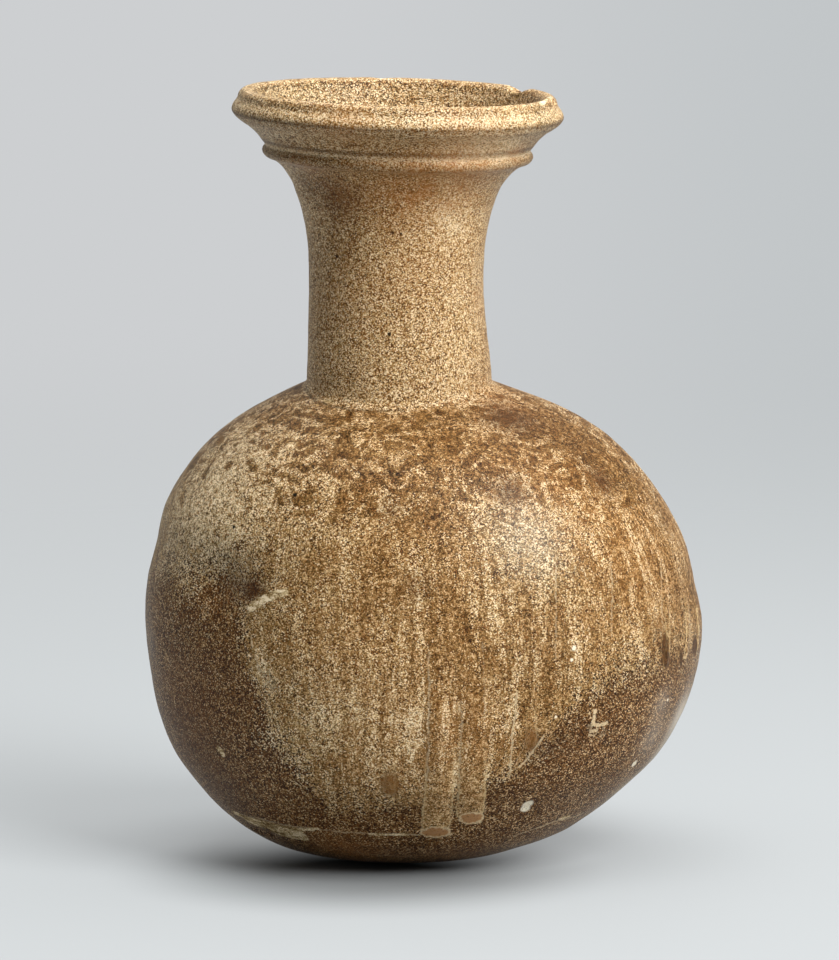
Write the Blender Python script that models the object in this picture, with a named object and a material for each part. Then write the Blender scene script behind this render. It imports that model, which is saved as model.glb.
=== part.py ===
"""A long-necked bottle of sandy stoneware, thrown in two parts and joined as one hollow piece.

A round body, fuller to one side and leaning back, stands on a small worn flat. The neck was set on
its shoulder, and flares to a ridge, a hollow moulding and a flanged lip.
+Z is up, -Y is the front, and the origin is the middle of the flat that the bottle stands on.
"""

import math

import bmesh
import bpy
from mathutils import Matrix, Vector

# Driving dimensions, in metres. A spread is measured on each side.
BODY_HEIGHT = 0.1465  # from the ground to the neck's seat, at the sides
BELLY_HEIGHT = 0.0710  # where the body is widest
BELLY_WIDTH = 0.1744  # side to side
BELLY_DEPTH = 0.1620  # front to back
FOOT_WIDTH = 0.0500  # the worn flat under the body
FLAT_SHARE = 0.92  # of the foot's width is dead flat, and its edge is rounded
NECK_LENGTH = 0.0602  # from the seat to where the flare opens
NECK_WIDTH = 0.0544  # at its narrowest
SEAT_SPREAD = 0.0017  # the neck is this much wider where it meets the shoulder
NECK_SPREAD = 0.0040  # and this much wider where the flare opens
FLARE_SPREAD = 0.0106  # from the end of the neck out to the ridge
FLANGE_SPREAD = 0.0097  # from the ridge out to the flange
LIP_INSET = 0.0038  # from the flange in to the crest of the lip
FLARE_HEIGHT = 0.0112
RIDGE_HEIGHT = 0.0031
CAVETTO_HEIGHT = 0.0063  # the hollow moulding between the ridge and the flange
RIM_HEIGHT = 0.0110  # from the flange's underside to the crest of the lip

BODY_WALL = 0.0065
NECK_WALL = 0.0055
FLOOR = 0.0085
LIP_THICKNESS = 0.0030

# How the soft clay was left, and how it moved while it dried and was fired.
SEAT_LEDGE = 0.0012  # the shoulder's edge stands out this far round the foot of the neck
SEAT_ROUNDING = 0.0015
RIDGE_BULGE = 0.0003
RIDGE_UNDERCUT = 0.0007
BELLY_SHIFT = 0.0059  # the belly stands this far to the right of the foot
BELLY_SET_BACK = 0.0055
SEAT_SHIFT = -0.0018
NECK_SHIFT = -0.0027
RIM_SHIFT = -0.0022
SEAT_DIP = 0.0040  # the neck's seat is this much lower in front than at the sides
SEAT_RISE = 0.0008  # and this much higher at the back
DIP_FADE_UP = 0.016
DIP_FADE_DOWN = 0.060
RIM_TILT = math.radians(1.6)  # the mouth drops to the right
# Shares of the body's height over which it turns from round to oval and back, and leans away.
OVAL_FADE_LOW = 0.16
OVAL_FADE_HIGH = 0.25
LEAN_FADE = 0.50

SIDES = 64
BODY_STEP = 0.0092  # between rings along the outside of the body
INNER_STEP = 0.0135
NECK_STEP = 0.0135
CURVE_PARTS = 16  # of each span, when a smooth curve is measured

CLAY = (0.42, 0.29, 0.16, 1.0)
SHARP_ANGLE = math.radians(35)

# The body below the belly, as shares: of the belly's height, of the way out from the flat's edge to
# the belly, and of the belly's shift.
LOWER_BODY = (
    (0.017, 0.110, -0.12),
    (0.049, 0.236, -0.20),
    (0.106, 0.390, 0.10),
    (0.183, 0.525, 0.22),
    (0.296, 0.670, 0.41),
    (0.451, 0.824, 0.68),
    (0.634, 0.924, 0.86),
    (0.817, 0.977, 1.00),
)
# The body above the belly, as shares of the way from the belly to the seat in height, and of the
# way from the seat to the belly in width and shift.
UPPER_BODY = (
    (0.000, 1.000, 1.00),
    (0.172, 0.974, 0.88),
    (0.344, 0.923, 0.83),
    (0.517, 0.831, 0.64),
    (0.675, 0.689, 0.53),
    (0.795, 0.530, 0.45),
    (0.887, 0.337, 0.30),
    (0.954, 0.145, 0.10),
)
# The neck, as shares of its length, of its spread at the seat and of its spread at the flare.
NECK_OUTLINE = (
    (0.00, 1.00, 0.00),
    (0.10, 0.82, 0.00),
    (0.27, 0.36, 0.00),
    (0.50, 0.00, 0.00),
    (0.72, 0.00, 0.10),
    (0.88, 0.00, 0.46),
    (1.00, 0.00, 1.00),
)
# The flare, as shares of its height and of its spread.
FLARE_OUTLINE = (
    (0.25, 0.105),
    (0.47, 0.250),
    (0.68, 0.420),
    (0.80, 0.560),
    (0.90, 0.720),
    (0.98, 0.940),
)
# The ridge, as shares of its height and of its bulge.
RIDGE_OUTLINE = (
    (0.40, 1.00),
    (0.80, 0.00),
)
# The hollow moulding, as shares of its height and of the way out from its foot to its top.
CAVETTO_OUTLINE = (
    (0.28, 0.22),
    (0.62, 0.52),
    (1.00, 1.00),
)
CAVETTO_SPREAD = 0.54  # of the way from the moulding's foot to the flange
# The flange and lip, as shares of the rim's height and of the way out from the moulding to the flange.
RIM_OUTLINE = (
    (0.08, 0.30),
    (0.23, 0.76),
    (0.39, 1.00),
    (0.55, 0.92),
    (0.73, 0.64),
    (0.88, 0.54),
    (0.96, 0.38),
)
# The lip's inner edge, as shares of its thickness: in from the crest, and down from it.
LIP_INNER_EDGE = (
    (0.55, 0.10),
    (1.00, 0.50),
)
# The inside of the mouth, as shares of its depth below the crest and of the way out from the bore.
FUNNEL_OUTLINE = (
    (0.22, 0.90),
    (0.48, 0.66),
    (0.78, 0.36),
    (1.10, 0.16),
)
BORE_TOP = 0.70  # of the neck's length, where the bore stops being straight
# The soft corner where the bore opens into the body, as shares of the body's wall: out, and down.
BORE_CORNER = (0.35, 0.75)
# The inside keeps this far from the bore's line and from the floor where it turns into them.
BORE_CLEARANCE = 0.0033
FLOOR_CLEARANCE = 0.0020
# The last ring on the floor, as shares of the ring before: of its width, and of its height.
FLOOR_RING = (0.62, 0.18)

# Where the wet clay was pushed in: a height, an angle round the body, a reach round it and up it,
# and a depth.
DENTS = (
    # a dent on the left of the front
    (0.0920, math.radians(-137), 0.0130, 0.0085, 0.0026),
    # the long shallow waist that runs from it round to the left side
    (0.0960, math.radians(-163), 0.0340, 0.0070, 0.0010),
)

# Chips, each scooped by a lump: its angle round the bottle, its half sizes outwards, round the bottle
# and up, and how far its middle stands out of the lip and above it.
LIP_CHIPS = {
    # through the crest of the lip, at the rear on the right
    "rear_chip": (math.radians(35.5), (0.0070, 0.0062, 0.0040), 0.0, 0.0018),
    # off its outer edge, at the right end
    "side_chip": (math.radians(-9.0), (0.0030, 0.0080, 0.0030), 0.0026, 0.0008),
}
# The flake gone from the left of the body, close to the ground.
FLAKE_HEIGHT = 0.0105
FLAKE_ANGLE = math.radians(-147)
FLAKE_SIZES = (0.0042, 0.0160, 0.0056)
FLAKE_STANDS_OUT = 0.0031


def eased(x):
    """0 below 0, 1 above 1, and smooth between."""
    x = min(1.0, max(0.0, x))
    return x * x * (3 - 2 * x)


def between(a, b, share):
    return a + (b - a) * share


def curve_through(points, step):
    """Points about step apart on the smooth curve through points of width, height and more."""
    spans = [math.dist(a[:2], b[:2]) for a, b in zip(points, points[1:])]
    slopes = []
    for i in range(len(points)):
        low, high = max(i - 1, 0), min(i + 1, len(points) - 1)
        run = sum(spans[low:high])
        slopes.append([(b - a) / run for a, b in zip(points[low], points[high])])
    fine = []
    for i, span in enumerate(spans):
        for j in range(CURVE_PARTS):
            t = j / CURVE_PARTS
            blend = (
                2 * t**3 - 3 * t**2 + 1,
                (t**3 - 2 * t**2 + t) * span,
                3 * t**2 - 2 * t**3,
                (t**3 - t**2) * span,
            )
            ends = zip(points[i], slopes[i], points[i + 1], slopes[i + 1])
            fine.append([sum(k * v for k, v in zip(blend, values)) for values in ends])
    fine.append(list(points[-1]))
    lengths = [0.0]
    for a, b in zip(fine, fine[1:]):
        lengths.append(lengths[-1] + math.dist(a[:2], b[:2]))
    count = max(1, round(lengths[-1] / step))
    chosen = []
    i = 0
    for k in range(count + 1):
        target = lengths[-1] * k / count
        while i < len(fine) - 2 and lengths[i + 1] < target:
            i += 1
        share = (target - lengths[i]) / (lengths[i + 1] - lengths[i])
        chosen.append([between(a, b, share) for a, b in zip(fine[i], fine[i + 1])])
    return chosen


def body_curve():
    """The body's outline from the flat to the neck's seat, as half width, height and sideways shift."""
    foot, belly = FOOT_WIDTH / 2, BELLY_WIDTH / 2
    seat = NECK_WIDTH / 2 + SEAT_SPREAD + SEAT_LEDGE
    points = [(foot, 0.0, 0.0)]
    points += [(between(foot, belly, w), BELLY_HEIGHT * z, BELLY_SHIFT * s) for z, w, s in LOWER_BODY]
    for z, w, s in UPPER_BODY:
        height = between(BELLY_HEIGHT, BODY_HEIGHT, z)
        points.append((between(seat, belly, w), height, between(SEAT_SHIFT, BELLY_SHIFT, s)))
    return points + [(seat, BODY_HEIGHT, SEAT_SHIFT)]


def neck_curve():
    """The neck from just above its seat to where the flare opens."""
    points = []
    for t, low, high in NECK_OUTLINE:
        width = NECK_WIDTH / 2 + SEAT_SPREAD * low + NECK_SPREAD * high
        height = BODY_HEIGHT + between(SEAT_ROUNDING, NECK_LENGTH, t)
        points.append((width, height, between(SEAT_SHIFT, NECK_SHIFT, eased(2 * t))))
    return points


def moulding_points():
    """The corners of the flare, ridge, hollow moulding, flange and lip, up to the crest of the lip."""
    neck_end = NECK_WIDTH / 2 + NECK_SPREAD
    ridge = neck_end + FLARE_SPREAD
    flange = ridge + FLANGE_SPREAD
    flare_foot = BODY_HEIGHT + NECK_LENGTH
    ridge_foot = flare_foot + FLARE_HEIGHT
    points = [(neck_end + FLARE_SPREAD * w, flare_foot + FLARE_HEIGHT * t) for t, w in FLARE_OUTLINE]
    points += [(ridge + RIDGE_BULGE * w, ridge_foot + RIDGE_HEIGHT * t) for t, w in RIDGE_OUTLINE]
    foot, hollow_foot = ridge - RIDGE_UNDERCUT, ridge_foot + RIDGE_HEIGHT
    top = between(foot, flange, CAVETTO_SPREAD)
    points.append((foot, hollow_foot))
    points += [(between(foot, top, w), hollow_foot + CAVETTO_HEIGHT * t) for t, w in CAVETTO_OUTLINE]
    rim_foot = hollow_foot + CAVETTO_HEIGHT
    points += [(between(top, flange, w), rim_foot + RIM_HEIGHT * t) for t, w in RIM_OUTLINE]
    points.append((flange - LIP_INSET, rim_foot + RIM_HEIGHT))
    shifts = [between(NECK_SHIFT, RIM_SHIFT, eased((z - flare_foot) / FLARE_HEIGHT)) for w, z in points]
    return [(w, z, shift) for (w, z), shift in zip(points, shifts)]


def ring_at(curve, height):
    """The outside's half width and shift at a height, read between two points of its curve."""
    for a, b in zip(curve, curve[1:]):
        if a[1] <= height <= b[1] and b[1] > a[1]:
            share = (height - a[1]) / (b[1] - a[1])
            return between(a[0], b[0], share), between(a[2], b[2], share)
    end = curve[0] if height < curve[0][1] else curve[-1]
    return end[0], end[2]


def inner_curve():
    """The inside, from just within the crest of the lip down to the floor."""
    crest = moulding_points()[-1]
    bore = NECK_WIDTH / 2 - NECK_WALL
    lip = crest[0] - LIP_THICKNESS
    flare_foot = BODY_HEIGHT + NECK_LENGTH
    depth = crest[1] - flare_foot
    points = [(crest[0] - LIP_THICKNESS * w, crest[1] - LIP_THICKNESS * t) for w, t in LIP_INNER_EDGE]
    points += [(between(bore, lip, w), crest[1] - depth * t) for t, w in FUNNEL_OUTLINE]
    top, foot = BODY_HEIGHT + NECK_LENGTH * BORE_TOP, BODY_HEIGHT + SEAT_ROUNDING
    steps = max(2, round((top - foot) / NECK_STEP))
    points += [(bore, between(top, foot, i / steps)) for i in range(steps + 1)]
    out, down = BORE_CORNER
    points.append((bore + BODY_WALL * out, BODY_HEIGHT - BODY_WALL * down))
    wall = curve_through(body_curve(), INNER_STEP)
    inside = []
    for before, here, after in zip(wall, wall[1:], wall[2:]):
        along = Vector((after[0] - before[0], after[1] - before[1])).normalized()
        width, height = here[0] - BODY_WALL * along.y, here[1] + BODY_WALL * along.x
        if width > bore + BORE_CLEARANCE and height > FLOOR + FLOOR_CLEARANCE:
            inside.append((width, height))
    points += reversed(inside)
    last_width, last_height = points[-1]
    in_share, up_share = FLOOR_RING
    points.append((last_width * in_share, between(FLOOR, last_height, up_share)))
    outside = body_curve() + neck_curve() + moulding_points()
    return [(w, z, ring_at(outside, z)[1]) for w, z in points]


def warped(width, height, shift, angle):
    """The point of a ring at an angle round it, 0 to the right and a quarter turn to the back."""
    share = height / BODY_HEIGHT
    oval = eased(share / OVAL_FADE_LOW) * eased((1 - share) / OVAL_FADE_HIGH)
    depth = between(1, BELLY_DEPTH / BELLY_WIDTH, oval)
    set_back = BELLY_SET_BACK * eased(share / LEAN_FADE) * eased((1 - share) / LEAN_FADE)
    side = math.sin(angle)
    x = shift + width * math.cos(angle)
    y = set_back + width * depth * side
    above, below = (height - BODY_HEIGHT) / DIP_FADE_UP, (BODY_HEIGHT - height) / DIP_FADE_DOWN
    near_seat = 1 - eased(max(above, below))
    sway = (SEAT_RISE + SEAT_DIP) / 2 * side + (SEAT_RISE - SEAT_DIP) / 2 * side * side
    lift = near_seat * sway
    up_neck = eased((height - BODY_HEIGHT) / NECK_LENGTH)
    drop = math.tan(RIM_TILT) * up_neck * (x - NECK_SHIFT)
    return Vector((x, y, height + lift - drop))


def on_body(height, angle):
    """A point of the body's outside, and the way that it faces."""
    curve = body_curve()
    nearby = BODY_STEP / 4
    width, shift = ring_at(curve, height)
    point = warped(width, height, shift, angle)
    higher_width, higher_shift = ring_at(curve, height + nearby)
    up = warped(higher_width, height + nearby, higher_shift, angle) - point
    along = warped(width, height, shift, angle + nearby / width) - point
    return point, along.cross(up).normalized()


def dented(point, dents):
    """The point pushed in by the dents that it is near."""
    moved = point.copy()
    for middle, facing, across, up, depth in dents:
        away = point - middle
        level = math.hypot(away.x, away.y) / across
        moved -= facing * depth * math.exp(-level * level - (away.z / up) ** 2)
    return moved


def bottle_mesh():
    """One closed skin of rings: from the flat up the outside, over the lip and down the inside."""
    dents = [(*on_body(height, angle), across, up, depth) for height, angle, across, up, depth in DENTS]
    flat_edge = (FOOT_WIDTH / 2 * FLAT_SHARE, 0.0, 0.0)
    outside = [flat_edge] + curve_through(body_curve(), BODY_STEP) + curve_through(neck_curve(), NECK_STEP)
    rings = outside + moulding_points() + inner_curve()
    bm = bmesh.new()
    loops = []
    for width, height, shift in rings:
        points = [warped(width, height, shift, math.tau * i / SIDES) for i in range(SIDES)]
        loops.append([bm.verts.new(dented(p, dents)) for p in points])
    for low, high in zip(loops, loops[1:]):
        for i in range(SIDES):
            j = (i + 1) % SIDES
            bm.faces.new((low[i], low[j], high[j], high[i]))
    bm.faces.new(reversed(loops[0]))
    centre = sum((v.co for v in loops[-1]), Vector()) / SIDES
    middle = bm.verts.new((centre.x, centre.y, FLOOR))
    for i in range(SIDES):
        bm.faces.new((loops[-1][i], loops[-1][(i + 1) % SIDES], middle))
    mesh = bpy.data.meshes.new("vessel")
    bm.to_mesh(mesh)
    bm.free()
    return mesh


def lump(name, place, facing, sizes):
    """A faceted egg that scoops a chip, with half sizes the way it faces, round the bottle and up."""
    along = Vector((-facing.y, facing.x, 0.0)).normalized()
    turn = Matrix((facing, along, facing.cross(along))).transposed().to_4x4()
    bm = bmesh.new()
    bmesh.ops.create_icosphere(bm, subdivisions=2, radius=1.0)
    bm.transform(Matrix.Translation(place) @ turn @ Matrix.Diagonal((*sizes, 1.0)))
    mesh = bpy.data.meshes.new(name)
    bm.to_mesh(mesh)
    bm.free()
    cutter = bpy.data.objects.new(name, mesh)
    cutter.hide_render = True
    cutter.display_type = "WIRE"
    bpy.context.scene.collection.objects.link(cutter)
    return cutter


def lip_chip(name, angle, sizes, out, up):
    """The lump that takes a chip from the crest of the lip."""
    outward = Vector((math.cos(angle), math.sin(angle), 0.0))
    place = warped(*moulding_points()[-1], angle) + outward * out + Vector((0.0, 0.0, up))
    return lump(name, place, outward, sizes)


def foot_flake():
    """The lump that takes the flake from the left of the foot, lying along the surface."""
    point, facing = on_body(FLAKE_HEIGHT, FLAKE_ANGLE)
    return lump("foot_flake", point + facing * FLAKE_STANDS_OUT, facing, FLAKE_SIZES)


def clay_material():
    material = bpy.data.materials.new("stoneware")
    material.use_nodes = True
    shader = material.node_tree.nodes["Principled BSDF"]
    shader.inputs["Base Color"].default_value = CLAY
    shader.inputs["Roughness"].default_value = 0.75
    shader.inputs["Metallic"].default_value = 0.0
    return material


def main():
    for obj in list(bpy.data.objects):
        bpy.data.objects.remove(obj)
    mesh = bottle_mesh()
    mesh.shade_smooth()
    mesh.set_sharp_from_angle(angle=SHARP_ANGLE)
    mesh.materials.append(clay_material())
    vessel = bpy.data.objects.new("vessel", mesh)
    bpy.context.scene.collection.objects.link(vessel)
    cutters = [lip_chip(name, *values) for name, values in LIP_CHIPS.items()] + [foot_flake()]
    for cutter in cutters:
        cut = vessel.modifiers.new(cutter.name, "BOOLEAN")
        cut.operation = "DIFFERENCE"
        cut.solver = "EXACT"
        cut.object = cutter


main()
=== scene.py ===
"""The looks of the long-necked stoneware bottle: one closed glazed skin over the CAD vessel.

The skin follows the same outline as the solid, at finer steps, and carries the relief that the solid
leaves out: runs of glaze, throwing lines, a torn dent, chips, a flake and the seam round the foot.
Its material is sandy clay under natural ash glaze, all worked out from noise and from fields that are
kept on the mesh. Places that are read off the photograph are pixels of it, and fall on the skin along
the photograph's own lines of sight.
"""

import math

import bpy
import numpy as np
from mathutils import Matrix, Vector
from mathutils.bvhtree import BVHTree


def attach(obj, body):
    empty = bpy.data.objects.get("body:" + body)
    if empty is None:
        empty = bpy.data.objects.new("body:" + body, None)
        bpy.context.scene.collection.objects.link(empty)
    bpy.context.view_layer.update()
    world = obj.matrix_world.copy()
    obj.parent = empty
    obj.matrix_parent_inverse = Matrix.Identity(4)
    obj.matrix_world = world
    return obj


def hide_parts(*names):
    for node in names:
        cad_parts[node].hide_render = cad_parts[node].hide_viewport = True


MM = 0.001

# The photograph, and the camera that took it.
PHOTO_WIDTH = 839
PHOTO_HEIGHT = 960
PIXEL = 0.312 * MM  # one pixel of the photograph, where the bottle stands
CAMERA_DISTANCE = 3.0
CAMERA_ELEVATION = math.radians(7.7)
CAMERA_AIM = Vector((0.004524, 0.0, 0.1168))
SENSOR = 36.0

# The outline, with the values that the solid is made from.
BODY_HEIGHT = 0.1465
BELLY_HEIGHT = 0.0710
BELLY_WIDTH = 0.1744
BELLY_DEPTH = 0.1620
FOOT_WIDTH = 0.0500
NECK_LENGTH = 0.0602
NECK_WIDTH = 0.0544
SEAT_SPREAD = 0.0017
NECK_SPREAD = 0.0040
FLARE_SPREAD = 0.0106
FLANGE_SPREAD = 0.0097
LIP_INSET = 0.0038
FLARE_HEIGHT = 0.0112
RIDGE_HEIGHT = 0.0031
CAVETTO_HEIGHT = 0.0063
RIM_HEIGHT = 0.0110
BODY_WALL = 0.0065
NECK_WALL = 0.0055
FLOOR = 0.0085
LIP_THICKNESS = 0.0030
SEAT_LEDGE = 0.0012
SEAT_ROUNDING = 0.0015
RIDGE_BULGE = 0.0003
RIDGE_UNDERCUT = 0.0007
BELLY_SHIFT = 0.0059
BELLY_SET_BACK = 0.0055
SEAT_SHIFT = -0.0018
NECK_SHIFT = -0.0027
RIM_SHIFT = -0.0022
SEAT_DIP = 0.0040
SEAT_RISE = 0.0008
DIP_FADE_UP = 0.016
DIP_FADE_DOWN = 0.060
RIM_TILT = math.radians(1.6)
OVAL_FADE_LOW = 0.16
OVAL_FADE_HIGH = 0.25
LEAN_FADE = 0.50
LOWER_BODY = (
    (0.017, 0.110, -0.12),
    (0.049, 0.236, -0.20),
    (0.106, 0.390, 0.10),
    (0.183, 0.525, 0.22),
    (0.296, 0.670, 0.41),
    (0.451, 0.824, 0.68),
    (0.634, 0.924, 0.86),
    (0.817, 0.977, 1.00),
)
UPPER_BODY = (
    (0.000, 1.000, 1.00),
    (0.172, 0.974, 0.88),
    (0.344, 0.923, 0.83),
    (0.517, 0.831, 0.64),
    (0.675, 0.689, 0.53),
    (0.795, 0.530, 0.45),
    (0.887, 0.337, 0.30),
    (0.954, 0.145, 0.10),
)
NECK_OUTLINE = (
    (0.00, 1.00, 0.00),
    (0.10, 0.82, 0.00),
    (0.27, 0.36, 0.00),
    (0.50, 0.00, 0.00),
    (0.72, 0.00, 0.10),
    (0.88, 0.00, 0.46),
    (1.00, 0.00, 1.00),
)
FLARE_OUTLINE = (
    (0.25, 0.105),
    (0.47, 0.250),
    (0.68, 0.420),
    (0.80, 0.560),
    (0.90, 0.720),
    (0.98, 0.940),
)
RIDGE_OUTLINE = (
    (0.40, 1.00),
    (0.80, 0.00),
)
CAVETTO_OUTLINE = (
    (0.28, 0.22),
    (0.62, 0.52),
    (1.00, 1.00),
)
CAVETTO_SPREAD = 0.54
RIM_OUTLINE = (
    (0.08, 0.30),
    (0.23, 0.76),
    (0.39, 1.00),
    (0.55, 0.92),
    (0.73, 0.64),
    (0.88, 0.54),
    (0.96, 0.38),
)
LIP_INNER_EDGE = (
    (0.55, 0.10),
    (1.00, 0.50),
)
FUNNEL_OUTLINE = (
    (0.22, 0.90),
    (0.48, 0.66),
    (0.78, 0.36),
    (1.10, 0.16),
)
BORE_CORNER = (0.35, 0.75)
FLAT_SHARE = 0.92
DENTS = (
    (0.0920, math.radians(-137), 0.0130, 0.0085, 0.0026),
    (0.0960, math.radians(-163), 0.0340, 0.0070, 0.0010),
)

# How finely the skin is cut.
COLUMNS = 348
FRONT_SHARE = 0.5  # how much closer together the columns are in front than behind
INNER_EVERY = 4  # one inner column for this many outer ones
FOOT_STEP = 1.4 * MM
BODY_STEP = 1.9 * MM
NECK_STEP = 1.3 * MM
RIM_STEP = 0.65 * MM
FUNNEL_STEP = 1.2 * MM
INNER_STEP = 9.0 * MM
FOOT_ZONE = 0.034  # the fine steps of the foot end at this height
CURVE_PARTS = 24


def eased(x):
    """0 below 0, 1 above 1, and smooth between, for one number or an array."""
    x = np.clip(x, 0.0, 1.0)
    return x * x * (3 - 2 * x)


def between(a, b, share):
    return a + (b - a) * share


def fine_curve(points):
    """Many points on the smooth curve through points of width, height and shift."""
    points = np.array(points, dtype=float)
    spans = np.linalg.norm(np.diff(points[:, :2], axis=0), axis=1)
    slopes = []
    for i in range(len(points)):
        low, high = max(i - 1, 0), min(i + 1, len(points) - 1)
        slopes.append((points[high] - points[low]) / spans[low:high].sum())
    fine = []
    for i, span in enumerate(spans):
        for t in np.arange(CURVE_PARTS) / CURVE_PARTS:
            start = (2 * t**3 - 3 * t**2 + 1) * points[i] + (t**3 - 2 * t**2 + t) * span * slopes[i]
            end = (3 * t**2 - 2 * t**3) * points[i + 1] + (t**3 - t**2) * span * slopes[i + 1]
            fine.append(start + end)
    fine.append(points[-1])
    return np.array(fine)


def stepped(curve, step):
    """Points about step apart along a fine curve."""
    lengths = np.concatenate([[0.0], np.cumsum(np.linalg.norm(np.diff(curve[:, :2], axis=0), axis=1))])
    count = max(1, round(lengths[-1] / step))
    targets = np.linspace(0, lengths[-1], count + 1)
    return np.stack([np.interp(targets, lengths, curve[:, k]) for k in range(curve.shape[1])], axis=1)


def body_curve():
    """The body from its flat to the neck's seat."""
    foot, belly = FOOT_WIDTH / 2, BELLY_WIDTH / 2
    seat = NECK_WIDTH / 2 + SEAT_SPREAD + SEAT_LEDGE
    points = [(foot, 0.0, 0.0)]
    points += [(between(foot, belly, w), BELLY_HEIGHT * z, BELLY_SHIFT * s) for z, w, s in LOWER_BODY]
    for z, w, s in UPPER_BODY:
        height = between(BELLY_HEIGHT, BODY_HEIGHT, z)
        points.append((between(seat, belly, w), height, between(SEAT_SHIFT, BELLY_SHIFT, s)))
    return fine_curve(points + [(seat, BODY_HEIGHT, SEAT_SHIFT)])


def neck_curve():
    """The neck from just above its seat to where the flare opens."""
    points = []
    for t, low, high in NECK_OUTLINE:
        width = NECK_WIDTH / 2 + SEAT_SPREAD * low + NECK_SPREAD * high
        height = BODY_HEIGHT + between(SEAT_ROUNDING, NECK_LENGTH, t)
        points.append((width, height, between(SEAT_SHIFT, NECK_SHIFT, eased(2 * t))))
    return fine_curve(points)


def moulding_curve():
    """The flare, ridge, hollow moulding, flange and lip, up to the crest of the lip."""
    neck_end = NECK_WIDTH / 2 + NECK_SPREAD
    ridge = neck_end + FLARE_SPREAD
    flange = ridge + FLANGE_SPREAD
    flare_foot = BODY_HEIGHT + NECK_LENGTH
    ridge_foot = flare_foot + FLARE_HEIGHT
    points = [(neck_end, flare_foot)]
    points += [(neck_end + FLARE_SPREAD * w, flare_foot + FLARE_HEIGHT * t) for t, w in FLARE_OUTLINE]
    points += [(ridge + RIDGE_BULGE * w, ridge_foot + RIDGE_HEIGHT * t) for t, w in RIDGE_OUTLINE]
    foot, hollow_foot = ridge - RIDGE_UNDERCUT, ridge_foot + RIDGE_HEIGHT
    top = between(foot, flange, CAVETTO_SPREAD)
    points.append((foot, hollow_foot))
    points += [(between(foot, top, w), hollow_foot + CAVETTO_HEIGHT * t) for t, w in CAVETTO_OUTLINE]
    rim_foot = hollow_foot + CAVETTO_HEIGHT
    points += [(between(top, flange, w), rim_foot + RIM_HEIGHT * t) for t, w in RIM_OUTLINE]
    points.append((flange - LIP_INSET, rim_foot + RIM_HEIGHT))
    shifts = [between(NECK_SHIFT, RIM_SHIFT, eased((z - flare_foot) / FLARE_HEIGHT)) for w, z in points]
    return fine_curve([(w, z, shift) for (w, z), shift in zip(points, shifts)])


def funnel_curve(crest):
    """The inside of the mouth, from the crest of the lip down to the bore."""
    lip, bore = crest[0] - LIP_THICKNESS, NECK_WIDTH / 2 - NECK_WALL
    depth = crest[1] - BODY_HEIGHT - NECK_LENGTH
    points = [tuple(crest[:2])]
    points += [(crest[0] - LIP_THICKNESS * w, crest[1] - LIP_THICKNESS * t) for w, t in LIP_INNER_EDGE]
    points += [(between(bore, lip, w), crest[1] - depth * t) for t, w in FUNNEL_OUTLINE]
    return fine_curve([(w, z, RIM_SHIFT) for w, z in points])


def inner_curve(bore_top, outside):
    """The inside from the bore down to the floor, an even wall away from the outside."""
    bore = NECK_WIDTH / 2 - NECK_WALL
    out, down = BORE_CORNER
    points = [(bore, z) for z in np.arange(bore_top, BODY_HEIGHT, -INNER_STEP)]
    points.append((bore + BODY_WALL * out, BODY_HEIGHT - BODY_WALL * down))
    wall = stepped(body_curve(), INNER_STEP)
    along = np.gradient(wall[:, :2], axis=0)
    along /= np.linalg.norm(along, axis=1)[:, None]
    inside = wall[:, :2] + BODY_WALL * np.stack([-along[:, 1], along[:, 0]], axis=1)
    kept = inside[(inside[:, 0] > bore + BODY_WALL / 2) & (inside[:, 1] > FLOOR + BODY_WALL / 3)]
    points += [tuple(p) for p in kept[::-1]]
    last = points[-1]
    points += [(last[0] * share, between(FLOOR, last[1], share**4)) for share in (0.75, 0.5, 0.25)]
    order = np.argsort(outside[:, 1])
    shifts = [np.interp(z, outside[order, 1], outside[order, 2]) for w, z in points]
    return np.array([(w, z, shift) for (w, z), shift in zip(points, shifts)])


def outer_rings():
    """The skin's rings from the flat up the outside, over the lip and down to the bore."""
    body = body_curve()
    foot = body[body[:, 1] <= FOOT_ZONE]
    flat_edge = np.array([[FOOT_WIDTH / 2 * FLAT_SHARE, 0.0, 0.0]])
    moulding = moulding_curve()
    funnel = funnel_curve(moulding[-1])
    return np.concatenate([
        flat_edge,
        stepped(foot, FOOT_STEP)[:-1],
        stepped(body[len(foot) - 1 :], BODY_STEP),
        stepped(neck_curve(), NECK_STEP),
        stepped(moulding, RIM_STEP)[1:],
        stepped(funnel, FUNNEL_STEP)[1:],
    ])


def warped(rings, angles):
    """The points of rings at angles round them, 0 to the right and a quarter turn to the back."""
    width, height, shift = (rings[:, k][:, None] for k in range(3))
    side = np.sin(angles)[None, :]
    share = height / BODY_HEIGHT
    oval = eased(share / OVAL_FADE_LOW) * eased((1 - share) / OVAL_FADE_HIGH)
    depth = between(1, BELLY_DEPTH / BELLY_WIDTH, oval)
    set_back = BELLY_SET_BACK * eased(share / LEAN_FADE) * eased((1 - share) / LEAN_FADE)
    x = shift + width * np.cos(angles)[None, :]
    y = set_back + width * depth * side
    above, below = (height - BODY_HEIGHT) / DIP_FADE_UP, (BODY_HEIGHT - height) / DIP_FADE_DOWN
    near_seat = 1 - eased(np.maximum(above, below))
    sway = (SEAT_RISE + SEAT_DIP) / 2 * side + (SEAT_RISE - SEAT_DIP) / 2 * side * side
    up_neck = eased((height - BODY_HEIGHT) / NECK_LENGTH)
    drop = math.tan(RIM_TILT) * up_neck * (x - NECK_SHIFT)
    return np.stack([x, y, height + near_seat * sway - drop], axis=2)


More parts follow.
